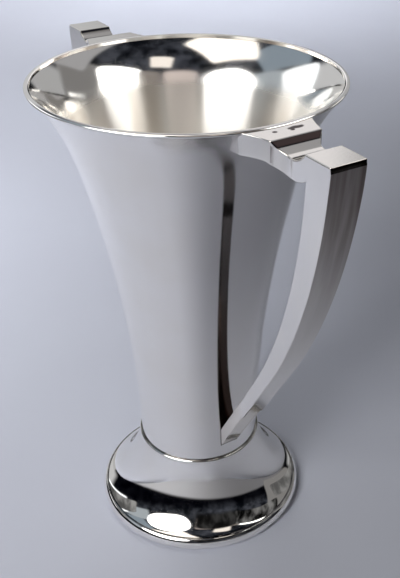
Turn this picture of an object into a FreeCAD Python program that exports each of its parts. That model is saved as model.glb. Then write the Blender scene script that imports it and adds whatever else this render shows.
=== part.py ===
"""Two-handled silver cup: a trumpet-shaped body on a flared foot, with two hollow angular handles.

Every piece is a separate sheet-metal or wire solid, as a silversmith would solder them together.
Millimetres. +Z is up, the origin is the centre of the foot's underside, and the handles lie along X.
"""
import FreeCAD, Part
import math
import os

# ---- driving dimensions -------------------------------------------------------------------------
HEIGHT = 254.0            # foot to lip: a ten inch cup
NECK_HEIGHT = 44.5        # where the body's bottom edge meets the foot's top edge
NECK_RADIUS = 33.7        # outside of both at that seam
WALL = 1.1                # sheet thickness of body and foot

# Body: the radius grows with the square of the height, plus a late curl outwards at the lip.
FLARE = 32.5              # growth of the radius by the square law, neck to lip
LIP_CURL = 10.2           # extra growth that only shows near the lip
CURL_POWER = 16           # how late the curl begins
PROFILE_POINTS = 22

# Lip wire: a thin rounded band on the body's top edge.
LIP_THICKNESS = 1.8
LIP_INNER_RADIUS = 72.7
LIP_RADIUS = 75.1
LIP_ROUND = 0.8           # how far its outer side bulges
LIP_CROWN = 0.15          # how far its top is domed

# Bowl floor
FLOOR_HEIGHT = 46.5
FLOOR_THICKNESS = 1.5

# Neck collar: a half-round wire over the seam.
COLLAR_HALF_HEIGHT = 1.5
COLLAR_PROJECTION = 1.5
COLLAR_LOW_EDGE = 0.5     # how far its lower and upper edges stand out from the neck's radius
COLLAR_HIGH_EDGE = 0.2

# Foot: one smooth flare, steep at the neck and shallow at the edge.
FOOT_EDGE_RADIUS = 56.3
FOOT_EDGE_HEIGHT = 8.0
FOOT_CORNER = (42.9, 15.6)      # radius and height where the two end tangents of the flare cross

# Base ring: a half-round moulding under the foot's edge.
BASE_RADIUS = 59.5
BASE_INNER_RADIUS = 54.6
BASE_ROUND = 2.0                # from the flat underside's edge out to the widest point
BASE_BELLY_HEIGHT = 3.6         # height of the widest point
BASE_SHOULDER = (1.0, 0.2)      # the top corner: this far outside the foot's edge, and this far below

# Handles: every profile point is (distance from the cup's axis, height).
ARM_INNER_X = 56.0              # the arm starts inside the cup, which then trims it
SHEET = 1.0                     # thickness of the handle plates
ARM_TOP = 253.2
RIDGE = (86.0, ARM_TOP)         # end of the flat ramp
RISER_FOOT = (87.7, 250.6)      # bottom of the short drop behind the ridge
TROUGH = (94.3, 248.2)          # lowest point of the scoop
BLOCK_INNER_X = 103.5           # where the scoop runs out on the block's top
BLOCK_OUTER_X = 118.8
BLOCK_TOP = 253.0
FASCIA_HEIGHT = 2.6             # narrow strip under the block's outer edge
FASCIA_LEAN = 0.45              # how far that strip leans out at its bottom
ARM_UNDER = 242.8               # underside of the arm at the body
ARM_UNDER_OUT = (85.0, 244.2)   # underside below the ridge
ARM_BELLY = (95.5, 239.6)       # underside below the scoop
INNER_CORNER = (104.5, 242.0)   # underside meets the leg's inner face

# The leg is two arcs, each from a slight lean to the same lean, then two parallel straights.
OUTER_LEG_RADIUS = 270.0
OUTER_LEG_LEAN = 4.0            # degrees from vertical at the top of the outer face
INNER_LEG_RADIUS = 265.0
INNER_LEG_LEAN = 3.2
LOWER_LEG_LEAN = 31.5
TOE_REACH = 29.5                # the profile runs this close to the axis before the body trims it

# Widths across the handle, as half-widths.
RIM_HALF_WIDTH = 17.9
RIM_X = 72.0                    # the arm's sides are parallel up to here
SWEEP_MID = (78.6, 14.9)        # a point on the hollow sweep of the side in plan
RIDGE_HALF_WIDTH = 12.6
COVE_MID = (88.8, 9.9)          # a point on the cove behind the ridge in plan
COVE_END_X = 95.5
BLOCK_HALF_WIDTH = 8.7
TOE_HEIGHT = 56.0
TOE_HALF_WIDTH = 5.3
LEG_TOP = 239.5                 # below this height the leg tapers in width
HEADROOM = 5.0                  # how far the cutting shape for the widths stands above the lip

# How far corners of the inner outline move towards the axis for each millimetre that it is set in.
RIDGE_MITRE = 0.5
RISER_MITRE = 0.8
RISER_DROP = 0.6
BLOCK_MITRE = 0.2

# Arched end of the outer plate and the toe plate under it.
ARCH_HEIGHT = 91.0
ARCH_RADIUS = 8.2
TOE_PLATE_OVERLAP = 9.0

FAR = 200.0                     # larger than the object, for cutting tools


# ---- small helpers ------------------------------------------------------------------------------
def point(x, z, y=0.0):
    return FreeCAD.Vector(x, y, z)


def plan(x, y):
    return FreeCAD.Vector(x, y, 0)


def line(a, b):
    return Part.LineSegment(point(*a), point(*b)).toShape()


def arc(a, middle, b):
    return Part.Arc(point(*a), point(*middle), point(*b)).toShape()


def smooth(points):
    curve = Part.BSplineCurve()
    curve.interpolate([point(*p) for p in points])
    return curve.toShape()


def polyline(points):
    return [line(a, b) for a, b in zip(points, points[1:])]


def face_of(edges):
    return Part.Face(Part.Wire(Part.__sortEdges__(edges)))


def turned(edges):
    """Turn a closed half-profile a full circle about the cup's axis."""
    return face_of(edges).revolve(point(0, 0), FreeCAD.Vector(0, 0, 1), 360)


def across(edges, half_width=FAR):
    """Extrude a closed profile in the X-Z plane by half_width to each side."""
    face = face_of(edges)
    face.translate(FreeCAD.Vector(0, -half_width, 0))
    return face.extrude(FreeCAD.Vector(0, 2 * half_width, 0))


def unit(dx, dz):
    length = math.hypot(dx, dz)
    return dx / length, dz / length


# ---- body, lip, neck and foot -------------------------------------------------------------------
BODY_TOP = HEIGHT - LIP_THICKNESS


def body_radius(z):
    t = (z - NECK_HEIGHT) / (HEIGHT - NECK_HEIGHT)
    return NECK_RADIUS + FLARE * t ** 2 + LIP_CURL * t ** CURL_POWER


def body_slope(z):
    t = (z - NECK_HEIGHT) / (HEIGHT - NECK_HEIGHT)
    growth = 2 * FLARE * t + CURL_POWER * LIP_CURL * t ** (CURL_POWER - 1)
    return growth / (HEIGHT - NECK_HEIGHT)


def body_heights():
    """Heights along the wall, closer together towards the lip, where the curl is."""
    for i in range(PROFILE_POINTS + 1):
        t = 1 - (1 - i / PROFILE_POINTS) ** 2
        yield NECK_HEIGHT + t * (BODY_TOP - NECK_HEIGHT)


def body_outside():
    return [(body_radius(z), z) for z in body_heights()]


def body_inside():
    """The outside set back by the sheet's thickness, measured square to the wall."""
    points = []
    for z in body_heights():
        points.append((body_radius(z) - WALL * math.hypot(1, body_slope(z)), z))
    return points


def body_shell():
    outside = body_outside()
    inside = body_inside()
    return turned([
        smooth(outside),
        line(outside[-1], inside[-1]),
        smooth(inside),
        line(inside[0], outside[0]),
    ])


LIP_OUTER_EDGE = LIP_RADIUS - LIP_ROUND
LIP_MIDDLE = (LIP_INNER_RADIUS + LIP_OUTER_EDGE) / 2


def lip_wire():
    """A half-round outer side, a slightly domed top and a flat inner side."""
    edge_height = HEIGHT - LIP_CROWN
    bottom_inner = (LIP_INNER_RADIUS, BODY_TOP)
    bottom_outer = (LIP_OUTER_EDGE, BODY_TOP)
    belly = (LIP_RADIUS, (BODY_TOP + edge_height) / 2)
    top_outer = (LIP_OUTER_EDGE, edge_height)
    crown = (LIP_MIDDLE, HEIGHT)
    top_inner = (LIP_INNER_RADIUS, edge_height)
    return turned([
        line(bottom_inner, bottom_outer),
        arc(bottom_outer, belly, top_outer),
        arc(top_outer, crown, top_inner),
        line(top_inner, bottom_inner),
    ])


def bowl_floor():
    """A disc that fits inside the wall, its edge following the wall's inner face."""
    radius = NECK_RADIUS - WALL
    blank = Part.makeCylinder(radius + WALL / 2, FLOOR_THICKNESS, point(0, FLOOR_HEIGHT))
    inside = body_inside()
    hollow = turned([
        line((0, NECK_HEIGHT), inside[0]),
        smooth(inside),
        line(inside[-1], (0, BODY_TOP)),
        line((0, BODY_TOP), (0, NECK_HEIGHT)),
    ])
    return blank.common(hollow)


def cup_solid():
    """The body and lip without their hollow, for trimming what is soldered to them."""
    outside = body_outside()
    body = turned([
        line((0, NECK_HEIGHT), outside[0]),
        smooth(outside),
        line(outside[-1], (0, BODY_TOP)),
        line((0, BODY_TOP), (0, NECK_HEIGHT)),
    ])
    lip = lip_wire()
    mouth = Part.makeCylinder(LIP_MIDDLE, HEIGHT - LIP_CROWN - BODY_TOP, point(0, BODY_TOP))
    return body.fuse(lip).fuse(mouth)


def neck_collar():
    """A half-round wire. Its flat inner side lies on the seam, so it is cut by body and foot."""
    low = (NECK_RADIUS - WALL / 2, NECK_HEIGHT - COLLAR_HALF_HEIGHT)
    high = (NECK_RADIUS - WALL / 2, NECK_HEIGHT + COLLAR_HALF_HEIGHT)
    low_edge = (NECK_RADIUS + COLLAR_LOW_EDGE, low[1])
    high_edge = (NECK_RADIUS + COLLAR_HIGH_EDGE, high[1])
    belly = (NECK_RADIUS + COLLAR_PROJECTION, NECK_HEIGHT)
    wire = turned([
        line(low, low_edge),
        arc(low_edge, belly, high_edge),
        line(high_edge, high),
        line(high, low),
    ])
    return wire.cut(body_shell()).cut(foot_shell())


def foot_curve(offset=0.0):
    """The flare of the foot as a quadratic curve, set in by offset square to the sheet."""
    start = (NECK_RADIUS, NECK_HEIGHT)
    end = (FOOT_EDGE_RADIUS, FOOT_EDGE_HEIGHT)
    points = []
    for i in range(PROFILE_POINTS + 1):
        t = i / PROFILE_POINTS
        weights = ((1 - t) ** 2, 2 * t * (1 - t), t ** 2)
        x = weights[0] * start[0] + weights[1] * FOOT_CORNER[0] + weights[2] * end[0]
        z = weights[0] * start[1] + weights[1] * FOOT_CORNER[1] + weights[2] * end[1]
        dx = (1 - t) * (FOOT_CORNER[0] - start[0]) + t * (end[0] - FOOT_CORNER[0])
        dz = (1 - t) * (FOOT_CORNER[1] - start[1]) + t * (end[1] - FOOT_CORNER[1])
        ux, uz = unit(dx, dz)
        points.append((x + offset * uz, z - offset * ux))
    return points


def foot_shell():
    outside = foot_curve()
    inside = foot_curve(WALL)
    inside[0] = (NECK_RADIUS - WALL, NECK_HEIGHT)
    return turned([
        smooth(outside),
        line(outside[-1], inside[-1]),
        smooth(inside),
        line(inside[0], outside[0]),
    ])


def base_ring():
    """A half-round moulding: flat underneath, hollowed inside, with a seat for the foot's edge."""
    seat_inner = foot_curve(WALL)[-1]
    seat_outer = (FOOT_EDGE_RADIUS, FOOT_EDGE_HEIGHT)
    inner_bottom = (BASE_INNER_RADIUS, 0.0)
    outer_bottom = (BASE_RADIUS - BASE_ROUND, 0.0)
    belly = (BASE_RADIUS, BASE_BELLY_HEIGHT)
    shoulder = (FOOT_EDGE_RADIUS + BASE_SHOULDER[0], FOOT_EDGE_HEIGHT - BASE_SHOULDER[1])
    return turned([
        line(inner_bottom, outer_bottom),
        arc(outer_bottom, belly, shoulder),
        line(shoulder, seat_outer),
        line(seat_outer, seat_inner),
        line(seat_inner, inner_bottom),
    ])


# ---- handle profile -----------------------------------------------------------------------------
def leg_point(top, radius, top_lean, lean):
    """A point on the leg's arc where it leans by the given angle from vertical."""
    a = math.radians(top_lean)
    b = math.radians(lean)
    x = top[0] - radius * (math.cos(a) - math.cos(b))
    z = top[1] - radius * (math.sin(b) - math.sin(a))
    return x, z


def leg_line(top, radius, top_lean, setback=0.0):
    """The leg's arc as three points, then the end of its straight part close to the axis.

    setback moves the whole line towards the arc's centre, or away from it if negative.
    """
    a = math.radians(top_lean)
    start = (top[0] - setback * math.cos(a), top[1] - setback * math.sin(a))
    reduced = radius - setback
    middle = leg_point(start, reduced, top_lean, (top_lean + LOWER_LEG_LEAN) / 2)
    end = leg_point(start, reduced, top_lean, LOWER_LEG_LEAN)
    drop = (end[0] - TOE_REACH) / math.tan(math.radians(LOWER_LEG_LEAN))
    toe = (TOE_REACH, end[1] - drop)
    return start, middle, end, toe


def leg_edges(stations):
    start, middle, end, toe = stations
    return [arc(start, middle, end), line(end, toe)]


FASCIA_BOTTOM = (BLOCK_OUTER_X + FASCIA_LEAN, BLOCK_TOP - FASCIA_HEIGHT)


def outer_leg(depth=0.0):
    return leg_line(FASCIA_BOTTOM, OUTER_LEG_RADIUS, OUTER_LEG_LEAN, depth)


def inner_leg(depth=0.0):
    return leg_line(INNER_CORNER, INNER_LEG_RADIUS, INNER_LEG_LEAN, -depth)


def shifted(p, dx, dz):
    return p[0] + dx, p[1] + dz


def arm_top_edges(depth=0.0):
    """Ramp, ridge, riser, scoop and block top, moved inwards by depth."""
    ridge = shifted(RIDGE, -RIDGE_MITRE * depth, -depth)
    riser_foot = shifted(RISER_FOOT, -RISER_MITRE * depth, -RISER_DROP * depth)
    trough = shifted(TROUGH, 0.0, -depth)
    block = (BLOCK_INNER_X + BLOCK_MITRE * depth, BLOCK_TOP - depth)
    return [
        line((ARM_INNER_X, ARM_TOP - depth), ridge),
        line(ridge, riser_foot),
        arc(riser_foot, trough, block),
    ], block


def arm_under_edges(depth=0.0):
    """Underside of the arm from the body to the leg's inner corner, moved inwards by depth."""
    start = (ARM_INNER_X, ARM_UNDER + depth)
    out = shifted(ARM_UNDER_OUT, 0.0, depth)
    belly = shifted(ARM_BELLY, 0.0, depth)
    corner = (INNER_CORNER[0] + depth, INNER_CORNER[1] + depth)
    return [line(start, out), arc(out, belly, corner)], corner


def handle_profile(depth=0.0):
    """Closed side profile of the handle, set in by depth all round."""
    top, block = arm_top_edges(depth)
    under, corner = arm_under_edges(depth)
    outer = outer_leg(depth)
    inner = inner_leg(depth)
    top_corner = (BLOCK_OUTER_X - depth, BLOCK_TOP - depth)
    edges = list(top)
    edges.append(line(block, top_corner))
    edges.append(line(top_corner, outer[0]))
    edges.extend(leg_edges(outer))
    edges.append(line(outer[3], inner[3]))
    edges.extend(leg_edges(inner))
    edges.append(line(inner[0], corner))
    edges.extend(under)
    edges.append(line((ARM_INNER_X, ARM_UNDER + depth), (ARM_INNER_X, ARM_TOP - depth)))
    return [edge for edge in edges if edge.Length > 1e-6]


def leg_half_width(z):
    share = (z - TOE_HEIGHT) / (LEG_TOP - TOE_HEIGHT)
    return TOE_HALF_WIDTH + share * (BLOCK_HALF_WIDTH - TOE_HALF_WIDTH)


def side_in_plan(side, inset):
    """One side of the arm and block seen from above, from the axis outwards. side is 1 or -1."""
    rim = RIM_HALF_WIDTH - inset
    block = BLOCK_HALF_WIDTH - inset
    sweep_start = plan(RIM_X, side * rim)
    sweep = plan(SWEEP_MID[0], side * (SWEEP_MID[1] - inset))
    ridge = plan(RIDGE[0] - RIDGE_MITRE * inset, side * (RIDGE_HALF_WIDTH - inset))
    cove = plan(COVE_MID[0] - RIDGE_MITRE * inset, side * (COVE_MID[1] - inset))
    cove_end = plan(COVE_END_X, side * block)
    return [
        Part.LineSegment(plan(0, side * rim), sweep_start).toShape(),
        Part.Arc(sweep_start, sweep, ridge).toShape(),
        Part.Arc(ridge, cove, cove_end).toShape(),
        Part.LineSegment(cove_end, plan(FAR, side * block)).toShape(),
    ]


def width_envelope(inset=0.0):
    """Everything between the handle's two sides, set in by inset on each side."""
    outline = side_in_plan(1, inset) + side_in_plan(-1, inset)
    for x, half_width in ((0, RIM_HALF_WIDTH - inset), (FAR, BLOCK_HALF_WIDTH - inset)):
        outline.append(Part.LineSegment(plan(x, half_width), plan(x, -half_width)).toShape())
    arm = face_of(outline).extrude(FreeCAD.Vector(0, 0, HEIGHT - LEG_TOP + HEADROOM))
    arm.translate(FreeCAD.Vector(0, 0, LEG_TOP))
    low = leg_half_width(0.0) - inset
    high = leg_half_width(LEG_TOP) - inset
    corners = [point(0, 0, -low), point(0, 0, low), point(0, LEG_TOP, high), point(0, LEG_TOP, -high)]
    leg = Part.Face(Part.makePolygon(corners + corners[:1])).extrude(FreeCAD.Vector(FAR, 0, 0))
    return arm.fuse(leg).removeSplitter()


# ---- handle plates ------------------------------------------------------------------------------
def top_plate_blank():
    top, block = arm_top_edges()
    low, low_block = arm_top_edges(SHEET)
    top_corner = (BLOCK_OUTER_X, BLOCK_TOP)
    low_corner = (BLOCK_OUTER_X - SHEET, BLOCK_TOP - SHEET)
    return across(top + low + [
        line(block, top_corner),
        line(top_corner, low_corner),
        line(low_corner, low_block),
        line((ARM_INNER_X, ARM_TOP), (ARM_INNER_X, ARM_TOP - SHEET)),
    ])


def outer_plate_blank():
    face = outer_leg()
    back = outer_leg(SHEET)
    top_corner = (BLOCK_OUTER_X, BLOCK_TOP)
    low_corner = (BLOCK_OUTER_X - SHEET, BLOCK_TOP - SHEET)
    blank = across(leg_edges(face) + leg_edges(back) + [
        line(top_corner, face[0]),
        line(low_corner, back[0]),
        line(top_corner, low_corner),
        line(face[3], back[3]),
    ])
    return blank.cut(arch_cutter())


def lower_leg_frame():
    """The point on the outer face at the arch, and the directions along and square to the leg."""
    start, middle, end, toe = outer_leg()
    share = (end[1] - ARCH_HEIGHT) / (end[1] - toe[1])
    x = end[0] + share * (toe[0] - end[0])
    along = unit(toe[0] - end[0], toe[1] - end[1])
    outward = (-along[1], along[0])
    return (x, ARCH_HEIGHT), along, outward


def arch_cutter():
    """Takes away the plate below the arch, leaving a scooped end with a point at each side."""
    base, along, outward = lower_leg_frame()
    half = leg_half_width(ARCH_HEIGHT)
    rise = ARCH_RADIUS - math.sqrt(ARCH_RADIUS ** 2 - half ** 2)
    reach = 5 * SHEET
    centre = (base[0] + along[0] * (ARCH_RADIUS - rise), base[1] + along[1] * (ARCH_RADIUS - rise))
    axis = FreeCAD.Vector(outward[0], 0, outward[1])
    start = point(centre[0] - outward[0] * reach, centre[1] - outward[1] * reach)
    scoop = Part.makeCylinder(ARCH_RADIUS, 2 * reach, start, axis)
    low = Part.makeBox(FAR, FAR, FAR)
    low.translate(FreeCAD.Vector(0, -FAR / 2, -FAR))
    turn = math.degrees(math.atan2(outward[1], outward[0]))
    low.rotate(point(0, 0), FreeCAD.Vector(0, 1, 0), -turn)
    low.translate(point(base[0] - outward[0] * reach, base[1] - outward[1] * reach))
    return scoop.fuse(low)


def toe_plate_blank():
    """Flush with the cheeks' edges, from under the arched end down to the neck."""
    face = outer_leg(SHEET)
    back = outer_leg(2 * SHEET)
    base, along, outward = lower_leg_frame()
    top = []
    for depth in (1, 2):
        x = base[0] - along[0] * TOE_PLATE_OVERLAP - outward[0] * depth * SHEET
        z = base[1] - along[1] * TOE_PLATE_OVERLAP - outward[1] * depth * SHEET
        top.append((x, z))
    return across(polyline([top[0], face[3], back[3], top[1], top[0]]))


def under_plate_blank():
    face, corner = arm_under_edges()
    back, back_corner = arm_under_edges(SHEET)
    return across(face + back + [
        line(corner, back_corner),
        line((ARM_INNER_X, ARM_UNDER), (ARM_INNER_X, ARM_UNDER + SHEET)),
    ])


def inner_plate_blank():
    face = inner_leg()
    back = inner_leg(SHEET)
    back_corner = (INNER_CORNER[0] + SHEET, INNER_CORNER[1] + SHEET)
    return across(leg_edges(face) + leg_edges(back) + [
        line(back_corner, back[0]),
        line(INNER_CORNER, back_corner),
        line(face[3], back[3]),
    ])


def cheeks():
    """Both side plates, between the plates that lie over their edges."""
    inner = across(handle_profile(SHEET))
    ring = inner.common(width_envelope()).cut(width_envelope(SHEET))
    half_space = Part.makeBox(FAR, FAR, 2 * FAR)
    right = ring.common(half_space)
    left_space = half_space.copy()
    left_space.translate(FreeCAD.Vector(0, -FAR, 0))
    left = ring.common(left_space)
    return left, right


def handle_plates():
    """The seven plates of the handle at +X, trimmed to the cup."""
    full = width_envelope()
    between = width_envelope(SHEET)
    left, right = cheeks()
    plates = {
        "left_cheek": left,
        "right_cheek": right,
        "top_plate": top_plate_blank().common(full),
        "outer_plate": outer_plate_blank().common(full),
        "toe_plate": toe_plate_blank().common(between),
        "under_plate": under_plate_blank().common(full),
        "inner_plate": inner_plate_blank().common(full),
    }
    cup = cup_solid()
    return {name: plate.cut(cup) for name, plate in plates.items()}


# ---- output -------------------------------------------------------------------------------------
def clean(name, shape):
    """Keep the one solid that the node is, and say so if there is more."""
    solids = sorted(shape.Solids, key=lambda solid: -solid.Volume)
    if len(solids) != 1:
        print(name, "has", len(solids), "solids:", [round(s.Volume, 3) for s in solids])
    solid = solids[0]
    if not solid.isValid():
        print(name, "is not valid")
    return solid


def save(name, shape):
    shape.exportStep("parts/" + name + ".step")
    box = shape.optimalBoundingBox(False)
    print("%-22s %9.1f mm3  X %.1f..%.1f  Y %.1f..%.1f  Z %.1f..%.1f" % (
        name, shape.Volume, box.XMin, box.XMax, box.YMin, box.YMax, box.ZMin, box.ZMax))


def main():
    os.makedirs("parts", exist_ok=True)
    turned_parts = {
        "body_shell": body_shell(),
        "bowl_floor": bowl_floor(),
        "lip_wire": lip_wire(),
        "neck_collar": neck_collar(),
        "foot_shell": foot_shell(),
        "base_ring": base_ring(),
    }
    for name, shape in turned_parts.items():
        save(name, clean(name, shape))
    for name, shape in handle_plates().items():
        plate = clean(name, shape)
        save("front_" + name, plate)
        other = plate.copy()
        other.rotate(point(0, 0), FreeCAD.Vector(0, 0, 1), 180)
        save("rear_" + name, other)


main()
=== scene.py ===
"""Looks for the two-handled silver cup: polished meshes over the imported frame, silver, studio, camera.

Shapes are worked out in millimetres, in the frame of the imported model, and become metres in
make_piece(). The front handle lies along +X, and the rear handle is the same one turned half round.
"""
import bisect
import bmesh
import bpy
import math
from mathutils import Matrix, Vector


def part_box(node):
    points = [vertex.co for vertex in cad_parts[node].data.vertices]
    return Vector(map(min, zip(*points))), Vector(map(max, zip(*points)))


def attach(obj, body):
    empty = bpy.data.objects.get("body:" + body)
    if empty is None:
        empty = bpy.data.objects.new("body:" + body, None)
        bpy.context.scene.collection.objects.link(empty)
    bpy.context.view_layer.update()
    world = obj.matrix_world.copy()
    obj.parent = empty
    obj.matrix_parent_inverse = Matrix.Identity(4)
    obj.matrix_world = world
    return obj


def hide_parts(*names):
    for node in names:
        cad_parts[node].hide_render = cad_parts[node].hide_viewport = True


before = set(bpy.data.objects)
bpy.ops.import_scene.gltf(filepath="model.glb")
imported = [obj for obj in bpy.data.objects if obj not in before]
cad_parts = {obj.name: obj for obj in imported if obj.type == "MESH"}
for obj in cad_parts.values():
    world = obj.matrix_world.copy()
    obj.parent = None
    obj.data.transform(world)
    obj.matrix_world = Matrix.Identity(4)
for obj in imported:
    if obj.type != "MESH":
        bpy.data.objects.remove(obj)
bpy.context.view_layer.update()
MM = 0.001


def node_box(node):
    """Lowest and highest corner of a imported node, in millimetres."""
    low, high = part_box(node)
    return low / MM, high / MM


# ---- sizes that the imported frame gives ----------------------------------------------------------
BODY_LOW, BODY_HIGH = node_box("body_shell")
LIP_HIGH = node_box("lip_wire")[1]
FLOOR_LOW, FLOOR_HIGH = node_box("bowl_floor")
COLLAR_LOW, COLLAR_HIGH = node_box("neck_collar")
FOOT_HIGH = node_box("foot_shell")[1]
RING_HIGH = node_box("base_ring")[1]
TOP_HIGH = node_box("front_top_plate")[1]
OUTER_LOW, OUTER_HIGH = node_box("front_outer_plate")

HEIGHT = LIP_HIGH.z
NECK_HEIGHT = BODY_LOW.z
BODY_TOP = BODY_HIGH.z
LIP_RADIUS = LIP_HIGH.x
BASE_RADIUS = RING_HIGH.x
FOOT_EDGE_RADIUS = FOOT_HIGH.x
FOOT_EDGE_HEIGHT = RING_HIGH.z
BLOCK_OUTER_X = TOP_HIGH.x
BLOCK_HALF_WIDTH = OUTER_HIGH.y
ARCH_HEIGHT = OUTER_LOW.z

# ---- sizes that its boxes don't give ------------------------------------------------------------
NECK_RADIUS = 33.7
WALL = 1.1
FLARE = 32.5
LIP_CURL = 10.2
CURL_POWER = 16
LIP_INNER_RADIUS = 72.7
LIP_ROUND = 0.8
LIP_CROWN = 0.15
FLOOR_DISH = 0.5
FLOOR_GAP = 0.02
COLLAR_LOW_EDGE = 0.5
COLLAR_HIGH_EDGE = 0.2
FOOT_CORNER = (42.9, 15.6)
BASE_INNER_RADIUS = 54.6
BASE_ROUND = 2.0
BASE_BELLY_HEIGHT = 3.6
BASE_SHOULDER = (1.0, 0.2)

SHEET = 1.0
ARM_START_X = 60.0        # the arm's plates are drawn from inside the cup and cut at its wall
UNDER_START_X = 56.0
ARM_TOP = 253.2
RIDGE = (86.0, ARM_TOP)
RISER_FOOT = (87.7, 250.6)
TROUGH = (94.3, 248.2)
BLOCK_INNER_X = 103.5
BLOCK_TOP = 253.0
FASCIA_HEIGHT = 2.6
FASCIA_LEAN = 0.45
ARM_UNDER = 242.8
ARM_UNDER_OUT = (85.0, 244.2)
ARM_BELLY = (95.5, 239.6)
INNER_CORNER = (104.5, 242.0)
OUTER_LEG_RADIUS = 270.0
OUTER_LEG_LEAN = 4.0
INNER_LEG_RADIUS = 265.0
INNER_LEG_LEAN = 3.2
LOWER_LEG_LEAN = 31.5
TOE_REACH = 29.5
RIM_HALF_WIDTH = 17.9
RIM_X = 72.0
SWEEP_MID = (78.6, 14.9)
RIDGE_HALF_WIDTH = 12.6
COVE_MID = (88.8, 9.9)
COVE_END_X = 95.5
TOE_HEIGHT = 56.0
TOE_HALF_WIDTH = 5.3
LEG_TOP = 239.5
ARCH_RADIUS = 8.2
TOE_PLATE_OVERLAP = 9.0

# ---- how finely the polished meshes are cut -----------------------------------------------------
TURN_STEPS = 288          # round the cup
WALL_STEPS = 120          # up the body
GATHER = 1.5              # how much the rings gather towards the lip, where the wall curls
WIRE_STEP = 0.1           # along the sections of the lip, the collar and the base ring
COLLAR_STEP = 0.12
RING_STEP = 0.25
STEP = 1.5                # along the handle's plates
PLAN_STEP = 0.05          # along the curves of the plan, which are only measured
EDGE = 0.35               # rounding of the handle's outer edges
EDGE_STEPS = 5
HOLD = 0.12               # a row of points this close to each rounding keeps the flats flat
SEAT = 0.15               # how far a handle plate sinks into what it is soldered to


# ---- flat outlines ------------------------------------------------------------------------------
def arc_points(a, middle, b, step):
    """Points from a to b along the circle through all three, about step apart."""
    ax, az = a
    bx, bz = middle
    cx, cz = b
    d = 2 * (ax * (bz - cz) + bx * (cz - az) + cx * (az - bz))
    sa, sb, sc = ax * ax + az * az, bx * bx + bz * bz, cx * cx + cz * cz
    ox = (sa * (bz - cz) + sb * (cz - az) + sc * (az - bz)) / d
    oz = (sa * (cx - bx) + sb * (ax - cx) + sc * (bx - ax)) / d
    radius = math.hypot(ax - ox, az - oz)
    start = math.atan2(az - oz, ax - ox)
    turn = (math.atan2(cz - oz, cx - ox) - start) % math.tau
    half = (math.atan2(bz - oz, bx - ox) - start) % math.tau
    if half > turn:
        turn -= math.tau
    count = max(2, math.ceil(abs(turn) * radius / step))
    angles = [start + turn * i / count for i in range(count + 1)]
    return [(ox + radius * math.cos(angle), oz + radius * math.sin(angle)) for angle in angles]


def line_points(a, b, step):
    count = max(1, math.ceil(math.dist(a, b) / step))
    return [tuple(Vector(a).lerp(Vector(b), i / count)) for i in range(count + 1)]


def body_radius(z):
    t = (z - NECK_HEIGHT) / (HEIGHT - NECK_HEIGHT)
    return NECK_RADIUS + FLARE * t ** 2 + LIP_CURL * t ** CURL_POWER


def body_slope(z):
    t = (z - NECK_HEIGHT) / (HEIGHT - NECK_HEIGHT)
    growth = 2 * FLARE * t + CURL_POWER * LIP_CURL * t ** (CURL_POWER - 1)
    return growth / (HEIGHT - NECK_HEIGHT)


def body_heights():
    for i in range(WALL_STEPS + 1):
        t = 1 - (1 - i / WALL_STEPS) ** GATHER
        yield NECK_HEIGHT + t * (BODY_TOP - NECK_HEIGHT)


def body_outline():
    outside = [(body_radius(z), z) for z in body_heights()]
    inside = [(body_radius(z) - WALL * math.hypot(1, body_slope(z)), z) for z in body_heights()]
    return outside + inside[::-1]


def lip_outline():
    edge = HEIGHT - LIP_CROWN
    outer = LIP_RADIUS - LIP_ROUND
    side = arc_points((outer, BODY_TOP), (LIP_RADIUS, (BODY_TOP + edge) / 2), (outer, edge), WIRE_STEP)
    middle = (LIP_INNER_RADIUS + outer) / 2
    inner_edge = (LIP_INNER_RADIUS, edge - LIP_CROWN)
    crown = arc_points((outer, edge), (middle, HEIGHT), inner_edge, WIRE_STEP)
    return side + crown[1:] + [(LIP_INNER_RADIUS, edge - 2 * LIP_CROWN), (LIP_INNER_RADIUS, BODY_TOP)]


def collar_outline():
    inner = NECK_RADIUS - SEAT
    low = (NECK_RADIUS + COLLAR_LOW_EDGE, COLLAR_LOW.z)
    high = (NECK_RADIUS + COLLAR_HIGH_EDGE, COLLAR_HIGH.z)
    belly = (COLLAR_HIGH.x, NECK_HEIGHT)
    return [(inner, COLLAR_LOW.z)] + arc_points(low, belly, high, COLLAR_STEP) + [(inner, COLLAR_HIGH.z)]


def foot_line(offset):
    """The flare of the foot as a quadratic curve, set in by offset square to the sheet."""
    start = (NECK_RADIUS, NECK_HEIGHT)
    end = (FOOT_EDGE_RADIUS, FOOT_EDGE_HEIGHT)
    points = []
    for i in range(WALL_STEPS + 1):
        t = i / WALL_STEPS
        place = [(1 - t) ** 2 * a + 2 * t * (1 - t) * b + t ** 2 * c
                 for a, b, c in zip(start, FOOT_CORNER, end)]
        along = [(1 - t) * (b - a) + t * (c - b) for a, b, c in zip(start, FOOT_CORNER, end)]
        length = math.hypot(*along)
        points.append((place[0] + offset * along[1] / length, place[1] - offset * along[0] / length))
    return points


def foot_outline():
    inside = foot_line(WALL)
    inside[0] = (NECK_RADIUS - WALL, NECK_HEIGHT)
    return foot_line(0) + inside[::-1]


def ring_outline():
    seat = foot_line(WALL)[-1]
    bottom = (BASE_RADIUS - BASE_ROUND, 0.0)
    belly = (BASE_RADIUS, BASE_BELLY_HEIGHT)
    shoulder = (FOOT_EDGE_RADIUS + BASE_SHOULDER[0], FOOT_EDGE_HEIGHT - BASE_SHOULDER[1])
    edge = (FOOT_EDGE_RADIUS, FOOT_EDGE_HEIGHT)
    return [(BASE_INNER_RADIUS, 0.0)] + arc_points(bottom, belly, shoulder, RING_STEP) + [edge, seat]


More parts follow.
